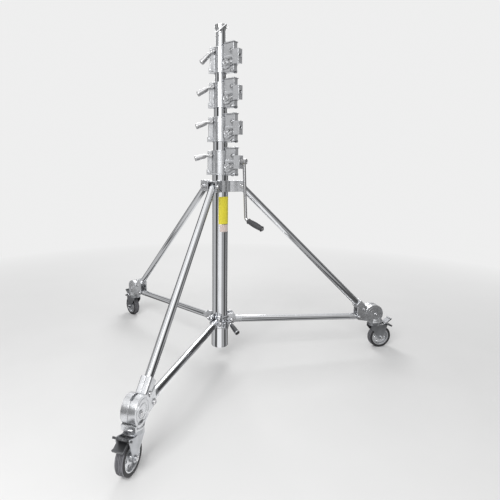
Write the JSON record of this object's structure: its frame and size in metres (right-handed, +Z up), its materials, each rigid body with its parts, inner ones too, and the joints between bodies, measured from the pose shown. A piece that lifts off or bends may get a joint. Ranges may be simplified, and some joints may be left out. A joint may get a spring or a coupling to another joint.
{
  "type": "crank stand",
  "caption": "Wheeled folding tripod base with a fixed column and nested risers, each raised by a cranked worm drive and held by a clamp lever, with a socket on top.",
  "frame": {"origin": "on the floor, where the column's axis meets it", "axes": "+Z up along the column, +X from the column towards leg c"},
  "size_m": [1.5148, 1.7492, 1.658],
  "materials": {
    "chromed_tube": "bright polished chrome plate",
    "cast_alloy": "satin, light grey cast surface",
    "tyre": "black rubber",
    "wheel_alloy": "satin cast",
    "zinc_plate": "zinc plated sheet",
    "gear_steel": "machined and greased",
    "grip_plastic": "fine grained",
    "crank_steel": "nickel plated rod",
    "bright_fittings": "polished"
  },
  "bodies": {
    "base": {"column_tube": "chromed_tube", "column_foot_cap": "chromed_tube", "leg_hub": "cast_alloy", "hub_pivot_bolts": "bright_fittings", "collar_1": "cast_alloy", "drive_housing_1": "cast_alloy"},
    "strut_slide": {"strut_collar": "chromed_tube", "strut_collar_bolts": "chromed_tube"},
    "strut_lock": {"strut_collar_lever": "chromed_tube"},
    "strut_a": {"strut_a": "chromed_tube"},
    "leg_a": {"leg_tube_a": "chromed_tube", "knuckle_a": "cast_alloy"},
    "caster_a": {"caster_fork_a": "zinc_plate"},
    "wheel_a": {"wheel_core_a": "wheel_alloy", "tyre_a": "tyre"},
    "pedal_a": {"brake_pedal_a": "zinc_plate"},
    "strut_b": {"strut_b": "chromed_tube"},
    "leg_b": {"leg_tube_b": "chromed_tube", "knuckle_b": "cast_alloy"},
    "caster_b": {"caster_fork_b": "zinc_plate"},
    "wheel_b": {"wheel_core_b": "wheel_alloy", "tyre_b": "tyre"},
    "pedal_b": {"brake_pedal_b": "zinc_plate"},
    "strut_c": {"strut_c": "chromed_tube"},
    "leg_c": {"leg_tube_c": "chromed_tube", "knuckle_c": "cast_alloy"},
    "caster_c": {"caster_fork_c": "zinc_plate"},
    "wheel_c": {"wheel_core_c": "wheel_alloy", "tyre_c": "tyre"},
    "pedal_c": {"brake_pedal_c": "zinc_plate"},
    "crank": {"worm_shaft_1": "gear_steel", "crank_arm": "crank_steel"},
    "grip": {"crank_grip": "grip_plastic"},
    "riser_1": {"riser_tube_1": "chromed_tube", "rack_1": "zinc_plate", "collar_2": "cast_alloy", "drive_housing_2": "cast_alloy"},
    "gear_1": {"drive_gear_1": "gear_steel"},
    "lever_1": {"clamp_lever_1": "bright_fittings"},
    "riser_2": {"riser_tube_2": "chromed_tube", "rack_2": "zinc_plate", "collar_3": "cast_alloy", "drive_housing_3": "cast_alloy"},
    "gear_2": {"drive_gear_2": "gear_steel"},
    "lever_2": {"clamp_lever_2": "bright_fittings"},
    "worm_2": {"worm_shaft_2": "gear_steel"},
    "riser_3": {"riser_tube_3": "chromed_tube", "rack_3": "zinc_plate", "collar_4": "cast_alloy", "drive_housing_4": "cast_alloy"},
    "gear_3": {"drive_gear_3": "gear_steel"},
    "lever_3": {"clamp_lever_3": "bright_fittings"},
    "worm_3": {"worm_shaft_3": "gear_steel"},
    "riser_4": {"riser_tube_4": "chromed_tube", "rack_4": "zinc_plate", "top_socket": "bright_fittings"},
    "gear_4": {"drive_gear_4": "gear_steel"},
    "lever_4": {"clamp_lever_4": "bright_fittings"},
    "worm_4": {"worm_shaft_4": "gear_steel"},
    "top_lock": {"top_lock_screw": "bright_fittings"}
  },
  "joints": [
    {"name": "strut_collar_slide", "type": "slide", "parent": "base", "child": "strut_slide", "axis": [0, 0, 1], "range_m": [0, 0.4255]},
    {"name": "strut_lock_turn", "type": "hinge", "parent": "strut_slide", "child": "strut_lock", "pos_m": [0.0229, -0.05143, 0.214], "axis": [-0.9135, -0.4067, 0], "range_deg": [-50, 20]},
    {"name": "strut_fold_a", "type": "hinge", "parent": "strut_slide", "child": "strut_a", "pos_m": [-0.0305, -0.05283, 0.221], "axis": [0.866, -0.5, 0], "range_deg": [0, 82.21]},
    {"name": "leg_fold_a", "type": "hinge", "parent": "strut_a", "child": "leg_a", "pos_m": [-0.39495, -0.68408, 0.18898], "axis": [0.866, -0.5, 0], "range_deg": [-40.28, 0]},
    {"name": "caster_swivel_a", "type": "hinge", "parent": "leg_a", "child": "caster_a", "pos_m": [-0.44582, -0.77217, 0.15], "axis": [0, 0, 1], "continuous": true},
    {"name": "wheel_spin_a", "type": "hinge", "parent": "caster_a", "child": "wheel_a", "pos_m": [-0.46481, -0.80508, 0.0625], "axis": [0.866, -0.5, 0], "continuous": true},
    {"name": "brake_press_a", "type": "hinge", "parent": "caster_a", "child": "pedal_a", "pos_m": [-0.47681, -0.82587, 0.138], "axis": [0.866, -0.5, 0], "range_deg": [0, 12]},
    {"name": "strut_fold_b", "type": "hinge", "parent": "strut_slide", "child": "strut_b", "pos_m": [-0.0305, 0.05283, 0.221], "axis": [-0.866, -0.5, 0], "range_deg": [0, 82.21]},
    {"name": "leg_fold_b", "type": "hinge", "parent": "strut_b", "child": "leg_b", "pos_m": [-0.39495, 0.68408, 0.18898], "axis": [-0.866, -0.5, 0], "range_deg": [-40.28, 0]},
    {"name": "caster_swivel_b", "type": "hinge", "parent": "leg_b", "child": "caster_b", "pos_m": [-0.44582, 0.77217, 0.15], "axis": [0, 0, 1], "continuous": true},
    {"name": "wheel_spin_b", "type": "hinge", "parent": "caster_b", "child": "wheel_b", "pos_m": [-0.46481, 0.80508, 0.0625], "axis": [-0.866, -0.5, 0], "continuous": true},
    {"name": "brake_press_b", "type": "hinge", "parent": "caster_b", "child": "pedal_b", "pos_m": [-0.47681, 0.82587, 0.138], "axis": [-0.866, -0.5, 0], "range_deg": [0, 12]},
    {"name": "strut_fold_c", "type": "hinge", "parent": "strut_slide", "child": "strut_c", "pos_m": [0.061, 0, 0.221], "axis": [0, 1, 0], "range_deg": [0, 82.21]},
    {"name": "leg_fold_c", "type": "hinge", "parent": "strut_c", "child": "leg_c", "pos_m": [0.78991, 0, 0.18898], "axis": [0, 1, 0], "range_deg": [-40.28, 0]},
    {"name": "caster_swivel_c", "type": "hinge", "parent": "leg_c", "child": "caster_c", "pos_m": [0.89163, 0, 0.15], "axis": [0, 0, 1], "continuous": true},
    {"name": "wheel_spin_c", "type": "hinge", "parent": "caster_c", "child": "wheel_c", "pos_m": [0.92963, 0, 0.0625], "axis": [0, 1, 0], "continuous": true},
    {"name": "brake_press_c", "type": "hinge", "parent": "caster_c", "child": "pedal_c", "pos_m": [0.95363, 0, 0.138], "axis": [0, 1, 0], "range_deg": [0, 12]},
    {"name": "crank_turn", "type": "hinge", "parent": "base", "child": "crank", "pos_m": [0.02855, -0.05036, 1.036], "axis": [-0.6428, 0.766, 0], "range_deg": [0, 30960]},
    {"name": "riser_1_lift", "type": "slide", "parent": "base", "child": "riser_1", "axis": [0, 0, 1], "range_m": [0, 0.7741]},
    {"name": "drive_gear_1_turn", "type": "hinge", "parent": "base", "child": "gear_1", "pos_m": [0.0366, -0.04361, 1.0156], "axis": [0.766, 0.6428, 0], "range_deg": [0, 1935.5]},
    {"name": "clamp_lever_1_turn", "type": "hinge", "parent": "base", "child": "lever_1", "pos_m": [-0.053, 0, 1.068], "axis": [0, 1, 0], "range_deg": [-15, 60]},
    {"name": "riser_2_lift", "type": "slide", "parent": "riser_1", "child": "riser_2", "axis": [0, 0, 1], "range_m": [0, 0.927]},
    {"name": "drive_gear_2_turn", "type": "hinge", "parent": "riser_1", "child": "gear_2", "pos_m": [0.03397, -0.04048, 1.1726], "axis": [0.766, 0.6428, 0], "range_deg": [0, 2318]},
    {"name": "worm_2_turn", "type": "hinge", "parent": "riser_1", "child": "worm_2", "pos_m": [0.02592, -0.04723, 1.193], "axis": [-0.6428, 0.766, 0], "range_deg": [0, 37081]},
    {"name": "clamp_lever_2_turn", "type": "hinge", "parent": "riser_1", "child": "lever_2", "pos_m": [-0.049, 0, 1.225], "axis": [0, 1, 0], "range_deg": [-15, 60]},
    {"name": "riser_3_lift", "type": "slide", "parent": "riser_2", "child": "riser_3", "axis": [0, 0, 1], "range_m": [0, 1.08]},
    {"name": "drive_gear_3_turn", "type": "hinge", "parent": "riser_2", "child": "gear_3", "pos_m": [0.03132, -0.03733, 1.3296], "axis": [0.766, 0.6428, 0], "range_deg": [0, 2700.5]},
    {"name": "worm_3_turn", "type": "hinge", "parent": "riser_2", "child": "worm_3", "pos_m": [0.02328, -0.04408, 1.35], "axis": [-0.6428, 0.766, 0], "range_deg": [0, 43201]},
    {"name": "clamp_lever_3_turn", "type": "hinge", "parent": "riser_2", "child": "lever_3", "pos_m": [-0.045, 0, 1.382], "axis": [0, 1, 0], "range_deg": [-15, 60]},
    {"name": "riser_4_lift", "type": "slide", "parent": "riser_3", "child": "riser_4", "axis": [0, 0, 1], "range_m": [0, 1.224]},
    {"name": "drive_gear_4_turn", "type": "hinge", "parent": "riser_3", "child": "gear_4", "pos_m": [0.02865, -0.03415, 1.4866], "axis": [0.766, 0.6428, 0], "range_deg": [0, 3060.5]},
    {"name": "worm_4_turn", "type": "hinge", "parent": "riser_3", "child": "worm_4", "pos_m": [0.02061, -0.0409, 1.507], "axis": [-0.6428, 0.766, 0], "range_deg": [0, 48961]},
    {"name": "clamp_lever_4_turn", "type": "hinge", "parent": "riser_3", "child": "lever_4", "pos_m": [-0.041, 0, 1.539], "axis": [0, 1, 0], "range_deg": [-15, 60]},
    {"name": "grip_spin", "type": "hinge", "parent": "crank", "child": "grip", "pos_m": [0.09877, -0.13404, 0.76437], "axis": [0.596, -0.7103, -0.3746], "continuous": true},
    {"name": "top_lock_turn", "type": "hinge", "parent": "riser_4", "child": "top_lock", "pos_m": [0, 0, 1.631], "axis": [-0.1219, -0.9925, 0], "range_deg": [-180, 180]}
  ],
  "couplings": [
    {"joint": "strut_fold_a", "follows": "strut_collar_slide", "rad_per_m": 3.3718},
    {"joint": "leg_fold_a", "follows": "strut_collar_slide", "rad_per_m": -1.6519},
    {"joint": "strut_fold_b", "follows": "strut_collar_slide", "rad_per_m": 3.3718},
    {"joint": "leg_fold_b", "follows": "strut_collar_slide", "rad_per_m": -1.6519},
    {"joint": "strut_fold_c", "follows": "strut_collar_slide", "rad_per_m": 3.3718},
    {"joint": "leg_fold_c", "follows": "strut_collar_slide", "rad_per_m": -1.6519},
    {"joint": "riser_1_lift", "follows": "crank_turn", "m_per_rad": 0.0014324},
    {"joint": "drive_gear_1_turn", "follows": "crank_turn", "ratio": 0.0625},
    {"joint": "drive_gear_2_turn", "follows": "riser_2_lift", "rad_per_m": 43.633},
    {"joint": "worm_2_turn", "follows": "riser_2_lift", "rad_per_m": 698.13},
    {"joint": "drive_gear_3_turn", "follows": "riser_3_lift", "rad_per_m": 43.633},
    {"joint": "worm_3_turn", "follows": "riser_3_lift", "rad_per_m": 698.13},
    {"joint": "drive_gear_4_turn", "follows": "riser_4_lift", "rad_per_m": 43.633},
    {"joint": "worm_4_turn", "follows": "riser_4_lift", "rad_per_m": 698.13}
  ]
}
